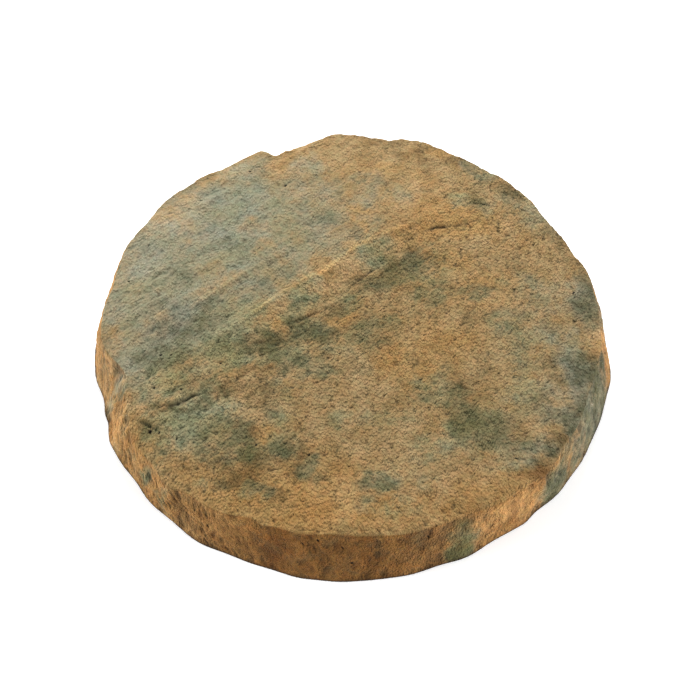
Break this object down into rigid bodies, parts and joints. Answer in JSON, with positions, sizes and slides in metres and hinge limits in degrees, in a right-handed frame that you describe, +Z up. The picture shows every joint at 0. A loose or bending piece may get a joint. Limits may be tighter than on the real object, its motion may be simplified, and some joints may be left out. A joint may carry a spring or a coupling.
{
  "type": "garden stepping stone",
  "caption": "Round cast-concrete stepping stone with a riven stone-look top face, chipped battered edge and flat base, to be laid on the ground as a step or in a path.",
  "frame": {"origin": "middle of the flat base, on the ground", "axes": "+Z up out of the top face, +Y towards the back as pictured, +X to the right"},
  "size_m": [0.4018, 0.4012, 0.0443],
  "materials": {
    "concrete": "rough riven concrete, tan with grey-green and rust-brown staining"
  },
  "bodies": {
    "root": {"stepping_stone": "concrete"}
  },
  "joints": []
}
